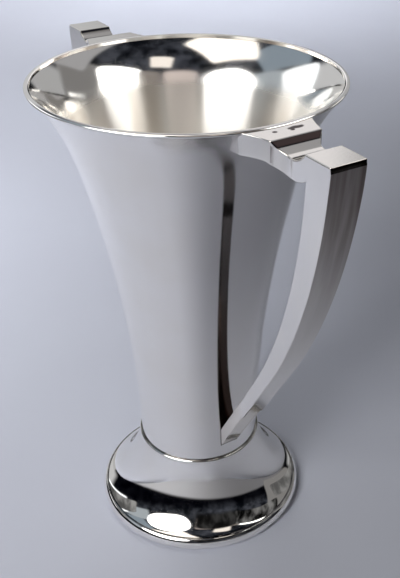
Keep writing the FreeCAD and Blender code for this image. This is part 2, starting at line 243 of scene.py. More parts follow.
def floor_outline():
    """The bowl's bottom: slightly dished on top, flat below, from the axis outwards."""
    rim = NECK_RADIUS - WALL - FLOOR_GAP
    steps = 24
    top = [(rim * i / steps, FLOOR_HIGH.z - FLOOR_DISH * (1 - (i / steps) ** 2)) for i in range(steps + 1)]
    return [(0.0, FLOOR_LOW.z), (rim, FLOOR_LOW.z)] + top[::-1]


# ---- the handle seen from the side and from above -----------------------------------------------
def cup_radius(z):
    """What a handle plate is soldered to at this height."""
    if z >= BODY_TOP:
        return LIP_RADIUS - LIP_ROUND
    return body_radius(z)


def leg_points(top, radius, top_lean):
    """The leg's arc and its straight lower part, from the top down to close to the axis."""
    def on_arc(lean):
        a, b = math.radians(top_lean), math.radians(lean)
        return (top[0] - radius * (math.cos(a) - math.cos(b)),
                top[1] - radius * (math.sin(b) - math.sin(a)))
    end = on_arc(LOWER_LEG_LEAN)
    drop = (end[0] - TOE_REACH) / math.tan(math.radians(LOWER_LEG_LEAN))
    bend = arc_points(top, on_arc((top_lean + LOWER_LEG_LEAN) / 2), end, STEP)
    return bend + line_points(end, (TOE_REACH, end[1] - drop), STEP)[1:]


def circle_y(a, middle, b, x):
    """The half-width at x on the arc through three points of the plan."""
    points = arc_points(a, middle, b, PLAN_STEP)
    if points[0][0] > points[-1][0]:
        points.reverse()
    for (x0, y0), (x1, y1) in zip(points, points[1:]):
        if x0 <= x <= x1:
            return y0 + (y1 - y0) * (x - x0) / (x1 - x0)
    return points[-1][1]


def plan_half_width(x):
    """Half the width of the arm and block, seen from above, at a distance x from the axis."""
    if x <= RIM_X:
        return RIM_HALF_WIDTH
    if x <= RIDGE[0]:
        return circle_y((RIM_X, RIM_HALF_WIDTH), SWEEP_MID, (RIDGE[0], RIDGE_HALF_WIDTH), x)
    if x < COVE_END_X:
        return circle_y((RIDGE[0], RIDGE_HALF_WIDTH), COVE_MID, (COVE_END_X, BLOCK_HALF_WIDTH), x)
    return BLOCK_HALF_WIDTH


def leg_half_width(z):
    share = (z - TOE_HEIGHT) / (LEG_TOP - TOE_HEIGHT)
    return TOE_HALF_WIDTH + share * (BLOCK_HALF_WIDTH - TOE_HALF_WIDTH)


def half_width(x, z):
    return plan_half_width(x) if z > LEG_TOP else leg_half_width(z)


class Station:
    """A place on a plate: the point on its outer face and the point straight behind it."""

    def __init__(self, outer, inner):
        self.outer = Vector(outer)
        self.inner = Vector(inner)

    def at(self, depth):
        return self.outer.lerp(self.inner, depth / SHEET)

    def mixed(self, other, share):
        return Station(self.outer.lerp(other.outer, share), self.inner.lerp(other.inner, share))


def direction(a, b):
    return (Vector(b) - Vector(a)).normalized()


def inward(along, side):
    """Square to the line, into the metal: to the right when side is 1, to the left when -1."""
    return Vector((along[1], -along[0])) * side


def trimmed(points, start, end):
    """The line without its first start and its last end millimetres, with holding points."""
    lengths = [0.0]
    for a, b in zip(points, points[1:]):
        lengths.append(lengths[-1] + math.dist(a, b))
    total = lengths[-1]

    def place(distance):
        for i in range(len(points) - 1):
            if distance <= lengths[i + 1] or i == len(points) - 2:
                share = (distance - lengths[i]) / (lengths[i + 1] - lengths[i])
                return tuple(Vector(points[i]).lerp(Vector(points[i + 1]), share))
    marks = [start, start + HOLD, total - end - HOLD, total - end]
    inner = [d for d in lengths if start + 2 * HOLD < d < total - end - 2 * HOLD]
    return [(d, place(d)) for d in sorted(marks + inner)], total


def plate_line(runs, rounds, side):
    """Stations along runs of points that meet at corners. rounds holds each corner's rounding."""
    stations = []
    corners = []
    for before, after in zip(runs, runs[1:]):
        a = direction(before[-2], before[-1])
        b = direction(after[0], after[1])
        turn = math.atan2(a.x * b.y - a.y * b.x, a.dot(b)) * -side
        bisector = (inward(a, side) + inward(b, side)).normalized()
        mitre = Vector(before[-1]) + bisector * SHEET / math.cos(turn / 2)
        corners.append((turn, mitre))
    for i, run in enumerate(runs):
        start = rounds[i - 1] if i else 0.0
        end = rounds[i] if i < len(rounds) else 0.0
        places, total = trimmed(run, start, end)
        low = SHEET * math.tan(corners[i - 1][0] / 2) if i else 0.0
        high = SHEET * math.tan(corners[i][0] / 2) if i < len(corners) else 0.0
        for k, (distance, place) in enumerate(places):
            before = places[max(k - 1, 0)][1]
            after = places[min(k + 1, len(places) - 1)][1]
            back = Vector(place) + inward(direction(before, after), side) * SHEET
            if distance < low:
                back = corners[i - 1][1]
            if total - distance < high:
                back = corners[i][1]
            stations.append(Station(place, back))
        if i < len(corners):
            turn, mitre = corners[i]
            first = stations[-1].outer
            tip = Vector(run[-1])
            last = Vector(trimmed(runs[i + 1], rounds[i], 0.0)[0][0][1])
            for k in range(1, 2 * EDGE_STEPS):
                t = k / (2 * EDGE_STEPS)
                place = first * (1 - t) ** 2 + tip * 2 * t * (1 - t) + last * t ** 2
                along = (tip - first) * (1 - t) + (last - tip) * t
                fan = place + inward(along.normalized(), side) * SHEET
                stations.append(Station(place, mitre if turn > 0 else fan))
    return stations


def outer_runs():
    """From the cup over the ramp, ridge, scoop and block, then down the outer face."""
    corner = (BLOCK_OUTER_X, BLOCK_TOP)
    fascia = (BLOCK_OUTER_X + FASCIA_LEAN, BLOCK_TOP - FASCIA_HEIGHT)
    top = [
        line_points((ARM_START_X, ARM_TOP), RIDGE, STEP),
        line_points(RIDGE, RISER_FOOT, STEP),
        arc_points(RISER_FOOT, TROUGH, (BLOCK_INNER_X, BLOCK_TOP), STEP / 2),
        line_points((BLOCK_INNER_X, BLOCK_TOP), corner, STEP),
    ]
    face = [
        line_points(corner, fascia, STEP),
        leg_points(fascia, OUTER_LEG_RADIUS, OUTER_LEG_LEAN),
    ]
    return top, face


def under_runs():
    """From the cup along the arm's underside, then down the leg's inner face."""
    under = [
        line_points((UNDER_START_X, ARM_UNDER), ARM_UNDER_OUT, STEP),
        arc_points(ARM_UNDER_OUT, ARM_BELLY, INNER_CORNER, STEP),
    ]
    return under, [leg_points(INNER_CORNER, INNER_LEG_RADIUS, INNER_LEG_LEAN)]


TOP_ROUNDS = [0.7, 0.5, 0.35, 0.4]
FACE_ROUNDS = [0.3]
UNDER_ROUNDS = [3.0, 0.4]


def nearest(line, place):
    return min(range(len(line)), key=lambda i: (line[i].outer - Vector(place)).length)


def handle_lines():
    """Stations of the outer line and of the inner line, and where each passes to its next plate."""
    top, face = outer_runs()
    under, inner = under_runs()
    outer_line = plate_line(top + face, TOP_ROUNDS + FACE_ROUNDS, 1)
    inner_line = plate_line(under + inner, UNDER_ROUNDS, -1)
    return outer_line, nearest(outer_line, face[0][0]), inner_line, nearest(inner_line, inner[0][0])


# ---- meshes -------------------------------------------------------------------------------------
SMOOTH_ANGLE = math.radians(32)
SAME_PLACE = 1e-4         # points closer than this are one point
ON_PLANE = 1e-5


def new_object(name, data):
    thing = bpy.data.objects.new(name, data)
    bpy.context.scene.collection.objects.link(thing)
    return thing


def make_piece(name, build, material, node, turned=False):
    """A piece from build(bm), which works in millimetres. It stands for the node of the frame."""
    bm = bmesh.new()
    build(bm)
    bmesh.ops.remove_doubles(bm, verts=bm.verts, dist=SAME_PLACE)
    bmesh.ops.dissolve_degenerate(bm, edges=bm.edges, dist=ON_PLANE)
    bmesh.ops.recalc_face_normals(bm, faces=bm.faces)
    bmesh.ops.scale(bm, vec=(MM, MM, MM), verts=bm.verts)
    if turned:
        bmesh.ops.rotate(bm, cent=(0, 0, 0), matrix=Matrix.Rotation(math.pi, 3, "Z"), verts=bm.verts)
    mesh = bpy.data.meshes.new(name)
    bm.to_mesh(mesh)
    bm.free()
    mesh.shade_smooth()
    mesh.set_sharp_from_angle(angle=SMOOTH_ANGLE)
    mesh.materials.append(material)
    piece = new_object(name, mesh)
    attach(piece, "root")
    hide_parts(node)


def lathe(outline):
    """A builder that turns a closed outline of (radius, height) points round the axis."""
    def build(bm):
        rings = []
        for radius, z in outline:
            if radius < 1e-6:
                rings.append([bm.verts.new((0, 0, z))] * TURN_STEPS)
                continue
            ring = []
            for i in range(TURN_STEPS):
                angle = math.tau * i / TURN_STEPS
                ring.append(bm.verts.new((radius * math.cos(angle), radius * math.sin(angle), z)))
            rings.append(ring)
        for a, b in zip(rings, rings[1:] + rings[:1]):
            for i in range(TURN_STEPS):
                k = (i + 1) % TURN_STEPS
                corners = list(dict.fromkeys((a[i], a[k], b[k], b[i])))
                if len(corners) > 2:
                    bm.faces.new(corners)
    return build


class Strap:
    """A plate that follows a line of stations across the handle.

    start and end say where along the line each column of points begins and stops. inset narrows
    the plate on both sides, and sunk sets it below the line.
    """
    columns_across = 12
    fade = 12.0               # the rows near a shaped end even out over this length

    def __init__(self, stations, start=None, end=None, inset=0.0, sunk=0.0):
        self.stations = stations
        self.start = start
        self.end = end
        self.inset = inset
        self.sunk = sunk
        self.marks = [0.0]
        for a, b in zip(stations, stations[1:]):
            self.marks.append(self.marks[-1] + (b.outer - a.outer).length)

    def point(self, column, distance):
        """Where a column, (share of the half-width, inset, depth), is at a distance along the line."""
        share, side, depth = column
        i = min(max(bisect.bisect_right(self.marks, distance) - 1, 0), len(self.marks) - 2)
        mix = (distance - self.marks[i]) / (self.marks[i + 1] - self.marks[i])
        station = self.stations[i].mixed(self.stations[i + 1], mix)
        place = station.at(depth + self.sunk)
        y = share * (half_width(place.x, place.y) - side)
        return Vector((place.x, y, place.y))

    def front_columns(self):
        """The rounded left edge, the flat and the rounded right edge, with holding columns."""
        edge = []
        for i in range(EDGE_STEPS + 1):
            angle = math.pi / 2 * i / EDGE_STEPS
            side = self.inset + EDGE * (1 - math.cos(angle))
            edge.append((side, EDGE * (1 - math.sin(angle))))
        left = [(-1, side, depth) for side, depth in edge]
        right = [(1, side, depth) for side, depth in reversed(edge)]
        flat = [(share, self.inset + EDGE + HOLD, 0.0) for share in self.shares()]
        return left, flat, right

    def shares(self):
        return [-1 + 2 * i / self.columns_across for i in range(self.columns_across + 1)]

    def build(self, bm):
        left, flat, right = self.front_columns()
        back = [(share, self.inset, SHEET) for share in self.shares()]
        columns = left + flat + right + back[::-1]
        middle = (0, 0.0, 0.0)
        first = self.start(self, middle) if self.start else 0.0
        last = self.end(self, middle) if self.end else self.marks[-1]
        rows = [first] + [d for d in self.marks if first + HOLD < d < last - HOLD] + [last]
        made = {}
        for column in columns:
            begin = self.start(self, column) - first if self.start else 0.0
            stop = self.end(self, column) - last if self.end else 0.0
            made[column] = []
            for d in rows:
                near_start = max(0.0, 1 - (d - first) / self.fade)
                near_end = max(0.0, 1 - (last - d) / self.fade)
                place = self.point(column, d + begin * near_start + stop * near_end)
                made[column].append(bm.verts.new(place))
        for a, b in zip(columns, columns[1:] + columns[:1]):
            for i in range(len(rows) - 1):
                bm.faces.new((made[a][i], made[a][i + 1], made[b][i + 1], made[b][i]))
        for k in (0, -1):
            for i in range(self.columns_across):
                corners = (flat[i], flat[i + 1], back[i + 1], back[i])
                bm.faces.new([made[column][k] for column in corners])
            bm.faces.new([made[column][k] for column in left + [flat[0], back[0]]])
            bm.faces.new([made[column][k] for column in right[::-1] + [flat[-1], back[-1]]])


HALVINGS = 40
ARM_REACH = 25.0          # the cup's wall crosses the arm within this much of its start
TOE_REACH_BACK = 90.0     # and the leg within this much of its end


def outside_cup(point):
    return math.hypot(point.x, point.y) - cup_radius(point.z) + SEAT


def crossing(strap, column, low, high):
    """The distance along the line at which a column passes through the cup's surface."""
    low_side = outside_cup(strap.point(column, low)) > 0
    for _ in range(HALVINGS):
        middle = (low + high) / 2
        if (outside_cup(strap.point(column, middle)) > 0) == low_side:
            low = middle
        else:
            high = middle
    return low


def from_cup(strap, column):
    return crossing(strap, column, 0.0, ARM_REACH)


def into_cup(strap, column):
    return crossing(strap, column, strap.marks[-1] - TOE_REACH_BACK, strap.marks[-1])


def arch_end(strap, column):
    """The outer plate's scooped end: a round arch that rises between two points."""
    base = height_mark(strap, ARCH_HEIGHT)
    half = leg_half_width(ARCH_HEIGHT)
    y = min(abs(strap.point(column, base).y), half)
    return base + math.sqrt(ARCH_RADIUS ** 2 - half ** 2) - math.sqrt(ARCH_RADIUS ** 2 - y ** 2)


def height_mark(strap, z):
    """How far along a line that goes down the height z is reached."""
    for a, b, da, db in zip(strap.stations, strap.stations[1:], strap.marks, strap.marks[1:]):
        if a.outer.y >= z >= b.outer.y:
            return da + (db - da) * (a.outer.y - z) / (a.outer.y - b.outer.y)
    return 0.0


def cheek_outline(outer_line, inner_line):
    """The side plate's outline: the lines of both sets of plates, set in, and the cup between."""
    def clear(points):
        kept = []
        for x, z in points:
            if math.hypot(x, half_width(x, z)) > cup_radius(z) - SEAT:
                kept.append((x, z))
        return kept

    def on_cup(low, high):
        points = []
        steps = 16
        for i in range(1, steps):
            z = low + (high - low) * i / steps
            x = math.sqrt((cup_radius(z) - SEAT) ** 2 - half_width(RIM_X, z) ** 2)
            points.append((x, z))
        return points

    outer = clear([tuple(station.inner) for station in outer_line])
    inner = clear([tuple(station.inner) for station in inner_line])
    toe = on_cup(outer[-1][1], inner[-1][1])
    arm = on_cup(inner[0][1], outer[0][1])
    outline = outer + toe + inner[::-1] + arm
    kept = [outline[0]]
    for place in outline[1:]:
        if math.dist(place, kept[-1]) > 1e-3:
            kept.append(place)
    return kept


def cheek(outline, side):
    """A builder for a side plate: the outline cut into small cells, bent to the handle's width."""
    cell = 1.5
    sweep = (0, RIM_X - 10, COVE_END_X + cell)
    shoulder = (2, LEG_TOP - 6, LEG_TOP + cell)

    def build(bm):
        corners = [bm.verts.new((x, 0.0, z)) for x, z in outline]
        bm.faces.new(corners)
        for axis, low, high in (sweep, shoulder):
            for i in range(math.ceil((high - low) / cell) + 1):
                place = [0.0, 0.0, 0.0]
                place[axis] = low + i * cell
                normal = [0.0, 0.0, 0.0]
                normal[axis] = 1.0
                everything = bm.verts[:] + bm.edges[:] + bm.faces[:]
                bmesh.ops.bisect_plane(bm, geom=everything, dist=ON_PLANE, plane_co=place, plane_no=normal)
        bmesh.ops.triangulate(bm, faces=bm.faces[:])
        outside = bm.verts[:]
        for vertex in outside:
            vertex.co.y = side * half_width(vertex.co.x, vertex.co.z)
        copied = bmesh.ops.extrude_face_region(bm, geom=bm.faces[:])
        for item in copied["geom"]:
            if isinstance(item, bmesh.types.BMVert):
                item.co.y -= side * SHEET
    return build


# ---- silver -------------------------------------------------------------------------------------
class Nodes:
    """A short way to write a node tree. where is the place on the object, in metres."""

    def __init__(self, tree):
        self.tree = tree
        tree.nodes.clear()
        self.where = self.add("ShaderNodeTexCoord").outputs["Object"]

    def add(self, kind, settings=None, **inputs):
        node = self.tree.nodes.new(kind)
        for name, value in (settings or {}).items():
            setattr(node, name, value)
        for name, value in inputs.items():
            self.set(node, name.replace("_", " "), value)
        return node

    def set(self, node, name, value):
        socket = node.inputs[int(name[1:])] if name.startswith("#") else node.inputs[name]
        if isinstance(value, bpy.types.NodeSocket):
            self.tree.links.new(value, socket)
        else:
            socket.default_value = value

    def math(self, operation, a, b=0.0):
        node = self.add("ShaderNodeMath", {"operation": operation})
        self.set(node, "#0", a)
        self.set(node, "#1", b)
        return node.outputs["Value"]

    def times(self, a, b):
        return self.math("MULTIPLY", a, b)

    def vector(self, operation, a, b=None):
        node = self.add("ShaderNodeVectorMath", {"operation": operation})
        self.set(node, "#0", a)
        if b is not None:
            self.set(node, "#1", b)
        return node.outputs["Value" if operation in ("LENGTH", "DOT_PRODUCT") else "Vector"]

    def span(self, value, low, high, at_low, at_high):
        """The value eased from at_low to at_high between low and high."""
        settings = {"interpolation_type": "SMOOTHSTEP"}
        node = self.add("ShaderNodeMapRange", settings, Value=value, From_Min=low, From_Max=high,
                        To_Min=at_low, To_Max=at_high)
        return node.outputs["Result"]

    def ramp(self, value, stops):
        """A colour between the first stop and the last, (place, colour) each."""
        node = self.add("ShaderNodeValToRGB", Fac=value)
        for element, (place, colour) in zip(node.color_ramp.elements, stops):
            element.position = place
            element.color = (*colour, 1.0)
        return node.outputs["Color"]

    def part(self, vector, axis):
        return self.add("ShaderNodeSeparateXYZ", Vector=vector).outputs[axis]

    def normal(self):
        return self.add("ShaderNodeNewGeometry").outputs["Normal"]

    def mix(self, share, a, b):
        node = self.add("ShaderNodeMix", {"data_type": "RGBA"})
        self.set(node, "#0", share)
        self.set(node, "#6", a)
        self.set(node, "#7", b)
        return node.outputs[2]


CLEAN = (0.96, 0.94, 0.915, 1.0)
WARM = (0.90, 0.86, 0.79, 1.0)
SPUN = (0.93, 0.905, 0.86, 1.0)
RUBBED = (0.83, 0.805, 0.77, 1.0)
SHADE_GREY = (0.42, 0.41, 0.42, 1.0)
SHADE_BROWN = (0.14, 0.10, 0.09, 1.0)
BROWNED = (0.50, 0.42, 0.34, 1.0)
STAIN = (0.05, 0.035, 0.035, 1.0)
# Black, for dirt in seams and for a painted dark reflection on the handles' fascia.
DIRT_AND_DARK_REFLECTION = (0.014, 0.010, 0.010, 1.0)

# Where the finishes and the painted shade change, in metres: a pair is where a change begins and where it
# ends.
SPUN_TOP = 0.240                      # above this the inside of the mouth is buffed bright
SPUN_START = 0.229                    # below this it keeps its spun finish
UNDER_LIP_HEIGHT = (0.228, 0.245)     # the outside grows duller under the lip
SHADE_HEIGHT = (0.06, 0.20)          # painted shade in line with the handles, weak below these heights and full above
HANDLE_SECTOR = (0.74, 1.0)           # cosines of the angle from the handles' plane
RUNS_HEIGHT = (0.08, 0.15)            # the brown runs fade out above the bowl's floor
HAZE_HEIGHT = (0.030, 0.037)          # cloudy silver at the top of the foot
SEAM_DIRT = (0.0001, 0.0004)          # how far dirt reaches from a seam
# The painted shade inside the handles and the painted dark reflection high on their outer faces change over
# these heights.
INNER_SHADE_HEIGHT = (0.08, 0.17)
OUTER_REFLECTION_HEIGHT = (0.13, 0.250)
TOE_JOINT_HEIGHT = (0.065, 0.075)
FASCIA_FOOT = (BLOCK_TOP - FASCIA_HEIGHT) * MM
FASCIA_BLACK = FASCIA_FOOT + 0.0018
SEAMS = [height * MM for height in (COLLAR_LOW.z, COLLAR_HIGH.z, FOOT_EDGE_HEIGHT)]
RUNS = [    # brown runs down the inside: direction and half-width in degrees, depth
    (176, 8, 0.6),
    (98, 9, 0.3),
    (-139, 7, 0.6),
    (20, 10, 0.5),
]
MARKS = [   # old stains on the front handle's ramp: middle and half sizes, in metres
    ((0.0788, 0.0045, 0.2532), (0.0015, 0.0042, 0.003)),
    ((0.0806, 0.0020, 0.2532), (0.0008, 0.0010, 0.003)),
    ((0.0790, -0.0055, 0.2532), (0.0010, 0.0012, 0.003)),
]


def start_material(name):
    material = bpy.data.materials.new(name)
    material.use_nodes = True
    return material, Nodes(material.node_tree)


def cloud(nodes, scale, detail=2.0, stretch=(1.0, 1.0, 1.0)):
    """A soft random value from 0 to 1 with features of about 1 / scale metres."""
    placed = nodes.vector("MULTIPLY", nodes.where, stretch)
    noise = nodes.add("ShaderNodeTexNoise", Vector=placed, Scale=scale, Detail=detail, Roughness=0.55)
    return noise.outputs["Fac"]


def wiped(nodes, low, high, stretch):
    """Roughness of a polished face: broad duller patches crossed by fine wipe marks."""
    patches = cloud(nodes, 22.0, 3.0)
    marks = cloud(nodes, 900.0, 2.0, stretch)
    share = nodes.math("ADD", nodes.times(patches, 0.75), nodes.times(marks, 0.25))
    return nodes.span(share, 0.35, 0.65, low, high)


def worked(nodes, waves, marks, stretch):
    """The faint unevenness that hammering, soldering and polishing leave in sheet silver."""
    swell = nodes.add("ShaderNodeBump", Strength=waves, Distance=0.001, Height=cloud(nodes, 26.0))
    fine = cloud(nodes, 700.0, 1.0, stretch)
    bump = nodes.add("ShaderNodeBump", Strength=marks, Distance=0.0001, Height=fine)
    nodes.set(bump, "Normal", swell.outputs["Normal"])
    return bump.outputs["Normal"]


def finish_silver(nodes, colour, roughness, normal, **extra):
    shader = nodes.add("ShaderNodeBsdfPrincipled", Base_Color=colour, Metallic=1.0,
                       Roughness=roughness, Normal=normal, **extra)
    nodes.add("ShaderNodeOutputMaterial", Surface=shader.outputs["BSDF"])


def direction_out(nodes):
    return nodes.vector("NORMALIZE", nodes.vector("MULTIPLY", nodes.where, (1.0, 1.0, 0.0)))


def inside_of_cup(nodes):
    """1 on faces that look at the cup's axis or straight up, 0 on the outside."""
    facing = nodes.vector("DOT_PRODUCT", direction_out(nodes), nodes.normal())
    return nodes.span(facing, 0.05, 0.15, 1.0, 0.0)


def height_of(nodes):
    return nodes.part(nodes.where, "Z")


def brown_runs(nodes):
    """Upright brown streaks down the inside, which end above its floor."""
    outward = direction_out(nodes)
    total = 0.0
    for degrees, half, depth in RUNS:
        angle, reach = math.radians(degrees), math.radians(half)
        along = nodes.vector("DOT_PRODUCT", outward, (math.cos(angle), math.sin(angle), 0.0))
        streak = nodes.span(along, math.cos(1.5 * reach), math.cos(0.5 * reach), 0.0, depth)
        total = nodes.math("MAXIMUM", streak, total)
    uneven = nodes.span(cloud(nodes, 60.0, 2.0, (1.0, 1.0, 0.15)), 0.3, 0.7, 0.6, 1.0)
    above_floor = nodes.span(height_of(nodes), *RUNS_HEIGHT, 0.0, 1.0)
    return nodes.times(nodes.times(total, uneven), above_floor)


def body_silver():
    """Bright outside and at the mouth, with the spun and slightly warm finish further in, and painted shade
    on the outside in line with the handles.
    """
    material, nodes = start_material("body_silver")
    height = height_of(nodes)
    inside = inside_of_cup(nodes)
    spun = nodes.times(inside, nodes.span(height, SPUN_START, SPUN_TOP, 1.0, 0.0))
    bright = wiped(nodes, 0.06, 0.11, (1.0, 1.0, 0.1))
    under_lip = nodes.span(height, *UNDER_LIP_HEIGHT, 0.0, 0.14)
    outside = nodes.times(under_lip, nodes.math("SUBTRACT", 1.0, inside))
    dimmed = nodes.span(cloud(nodes, 20.0, 0.0), 0.2, 0.8, 0.28, 0.31)
    roughness = nodes.add("ShaderNodeMix", {"data_type": "FLOAT"})
    nodes.set(roughness, "#0", spun)
    nodes.set(roughness, "#2", nodes.math("ADD", bright, outside))
    nodes.set(roughness, "#3", dimmed)
    clean = nodes.mix(nodes.span(cloud(nodes, 30.0, 4.0), 0.35, 0.75, 0.0, 0.35), CLEAN, WARM)
    # Painted shade: the outside is darkened towards a grey in line with the handles, most strongly high up.
    in_line = nodes.math("ABSOLUTE", nodes.part(direction_out(nodes), "X"))
    shade = nodes.span(in_line, *HANDLE_SECTOR, 0.0, 0.72)
    shade = nodes.times(shade, nodes.span(height, *SHADE_HEIGHT, 0.15, 1.0))
    clean = nodes.mix(nodes.times(shade, nodes.math("SUBTRACT", 1.0, inside)), clean, SHADE_GREY)
    colour = nodes.mix(spun, clean, nodes.mix(brown_runs(nodes), SPUN, BROWNED))
    on_wall = nodes.span(height, FLOOR_HIGH.z * MM, (FLOOR_HIGH.z + 3) * MM, 0.0, 1.0)
    brushed = nodes.times(spun, on_wall)
    tangent = nodes.add("ShaderNodeTangent", {"direction_type": "RADIAL", "axis": "Z"})
    finish_silver(nodes, colour, roughness.outputs[0], worked(nodes, 0.05, 0.04, (1.0, 1.0, 0.1)),
                  Anisotropic=brushed, Anisotropic_Rotation=0.25, Tangent=tangent.outputs["Tangent"])
    return material


def foot_silver():
    """The brightest finish of the cup, a little cloudy near the collar."""
    material, nodes = start_material("foot_silver")
    haze = nodes.span(height_of(nodes), *HAZE_HEIGHT, 0.0, 0.14)
    roughness = nodes.math("ADD", wiped(nodes, 0.03, 0.06, (0.1, 0.1, 1.0)), haze)
    colour = nodes.mix(nodes.span(cloud(nodes, 40.0, 4.0), 0.4, 0.75, 0.0, 0.4), CLEAN, WARM)
    finish_silver(nodes, colour, roughness, worked(nodes, 0.05, 0.03, (0.1, 0.1, 1.0)))
    return material


def wire_silver():
    """Drawn wire with a rubbed crest; dirt stays in the seams beside it."""
    material, nodes = start_material("wire_silver")
    height = height_of(nodes)
    dirt = 0.0
    for seam in SEAMS:
        away = nodes.math("ABSOLUTE", nodes.math("SUBTRACT", height, seam))
        dirt = nodes.math("MAXIMUM", nodes.span(away, *SEAM_DIRT, 1.0, 0.0), dirt)
    patchy = nodes.span(cloud(nodes, 150.0, 3.0), 0.3, 0.7, 0.7, 1.0)
    clean = nodes.mix(nodes.span(cloud(nodes, 60.0, 4.0), 0.45, 0.75, 0.0, 0.3), CLEAN, WARM)
    colour = nodes.mix(nodes.times(dirt, patchy), clean, DIRT_AND_DARK_REFLECTION)
    finish_silver(nodes, colour, wiped(nodes, 0.03, 0.08, (0.1, 0.1, 1.0)),
                  worked(nodes, 0.06, 0.05, (0.1, 0.1, 1.0)))
    return material


def stain(nodes, middle, half, edge):
    """1 in an oval stain, 0 outside, with a ragged edge."""
    offset = nodes.vector("DIVIDE", nodes.vector("SUBTRACT", nodes.where, middle), half)
    reach = nodes.math("ADD", nodes.vector("LENGTH", offset), edge)
    return nodes.span(reach, 0.75, 1.15, 1.0, 0.0)


def facing_out(nodes):
    """How far a handle's face looks away from the cup: 1 straight out, -1 straight in."""
    side = nodes.math("SIGN", nodes.part(nodes.where, "X"))
    return nodes.times(side, nodes.part(nodes.normal(), "X"))


def handle_painted_shade(nodes):
    """Painted shade on the faces that look at the cup, darker low down, and a painted dark reflection, in
    streaks, high on the outer face.
    """
    height = height_of(nodes)
    outward = facing_out(nodes)
    inner_shade = nodes.times(nodes.span(outward, -0.75, -0.6, 1.0, 0.0),
                         nodes.span(height, *INNER_SHADE_HEIGHT, 1.0, 0.5))
    dimmed = nodes.times(nodes.span(height, *OUTER_REFLECTION_HEIGHT, 0.0, 0.74),
                       nodes.span(outward, 0.7, 0.85, 0.0, 1.0))
    streaks = cloud(nodes, 120.0, 3.0, (0.3, 1.0, 0.06))
    dimmed = nodes.times(dimmed, nodes.span(streaks, 0.3, 0.7, 0.7, 1.25))
    return nodes.math("MAXIMUM", inner_shade, dimmed)


def on_fascia(nodes):
    """Nearly 1 at the top edge of the outer face, where a black reflection is painted, fading down its
    strip.
    """
    high = nodes.span(height_of(nodes), FASCIA_FOOT, FASCIA_BLACK, 0.0, 0.95)
    return nodes.times(high, nodes.span(facing_out(nodes), 0.85, 0.95, 0.0, 1.0))


def in_riser(nodes):
    """1 on the little step under the ridge, where black dirt gathers."""
    reach = nodes.math("ABSOLUTE", nodes.part(nodes.where, "X"))
    past_ridge = nodes.span(reach, RIDGE[0] * MM, (RIDGE[0] + 0.3) * MM, 0.0, 1.0)
    before_foot = nodes.span(reach, RISER_FOOT[0] * MM, (RISER_FOOT[0] + 0.6) * MM, 1.0, 0.0)
    on_top = nodes.span(nodes.part(nodes.normal(), "Z"), 0.1, 0.3, 0.0, 1.0)
    return nodes.times(nodes.times(past_ridge, before_foot), on_top)


def at_neck(nodes):
    """1 on the dark joint where the toe is soldered to the neck."""
    out = nodes.vector("LENGTH", nodes.vector("MULTIPLY", nodes.where, (1.0, 1.0, 0.0)))
    close = nodes.span(out, (NECK_RADIUS + 0.6) * MM, (NECK_RADIUS + 1.5) * MM, 0.9, 0.0)
    return nodes.times(close, nodes.span(height_of(nodes), *TOE_JOINT_HEIGHT, 1.0, 0.0))


def handle_silver():
    """Flat sheet with wipe marks, a few stains on the ramp, painted shade on the faces that look at the cup
    and painted dark reflections on the outer faces.
    """
    material, nodes = start_material("handle_silver")
    ragged = nodes.span(cloud(nodes, 500.0, 3.0), 0.3, 0.7, -0.15, 0.15)
    stained = 0.0
    for middle, half in MARKS:
        stained = nodes.math("MAXIMUM", stain(nodes, middle, half, ragged), stained)
    # Dirt in the riser, the painted black reflection on the fascia and the dark joint at the neck.
    dirt_and_dark_reflection = nodes.math("MAXIMUM", in_riser(nodes), on_fascia(nodes))
    dirt_and_dark_reflection = nodes.math("MAXIMUM", at_neck(nodes), dirt_and_dark_reflection)
    clean = nodes.mix(nodes.span(cloud(nodes, 45.0, 4.0), 0.4, 0.75, 0.0, 0.6), RUBBED, WARM)
    # Painted shade and a painted dark reflection, in a dark brown.
    colour = nodes.mix(handle_painted_shade(nodes), clean, SHADE_BROWN)
    colour = nodes.mix(stained, colour, STAIN)
    colour = nodes.mix(dirt_and_dark_reflection, colour, DIRT_AND_DARK_REFLECTION)
    roughness = nodes.math("ADD", wiped(nodes, 0.06, 0.12, (1.0, 1.0, 0.1)), nodes.times(stained, 0.2))
    finish_silver(nodes, colour, roughness, worked(nodes, 0.05, 0.05, (1.0, 1.0, 0.1)))
    return material


def build_cup(body, foot, wire):
    make_piece("body_shell_spun", lathe(body_outline()), body, "body_shell")
    make_piece("bowl_floor_dished", lathe(floor_outline()), body, "bowl_floor")
    make_piece("lip_wire_rounded", lathe(lip_outline()), wire, "lip_wire")
    make_piece("neck_collar_rounded", lathe(collar_outline()), wire, "neck_collar")
    make_piece("foot_shell_spun", lathe(foot_outline()), foot, "foot_shell")
    make_piece("base_ring_rounded", lathe(ring_outline()), wire, "base_ring")


def build_handles(material):
    outer_line, outer_split, inner_line, inner_split = handle_lines()
    whole_outer = Strap(outer_line)
    arch = height_mark(whole_outer, ARCH_HEIGHT)
    toe_start = bisect.bisect_left(whole_outer.marks, arch - TOE_PLATE_OVERLAP)
    outline = cheek_outline(outer_line, inner_line)
    builders = {
        "top_plate": Strap(outer_line[:outer_split + 1], start=from_cup).build,
        "outer_plate": Strap(outer_line[outer_split:], end=arch_end).build,
        "toe_plate": Strap(outer_line[toe_start:], end=into_cup, inset=SHEET, sunk=SHEET).build,
        "under_plate": Strap(inner_line[:inner_split + 1], start=from_cup).build,
        "inner_plate": Strap(inner_line[inner_split:], end=into_cup).build,
        "left_cheek": cheek(outline, -1),
        "right_cheek": cheek(outline, 1),
    }
    for end, turned in (("front_", False), ("rear_", True)):
        for name, build in builders.items():
            make_piece(end + name + "_polished", build, material, end + name, turned)


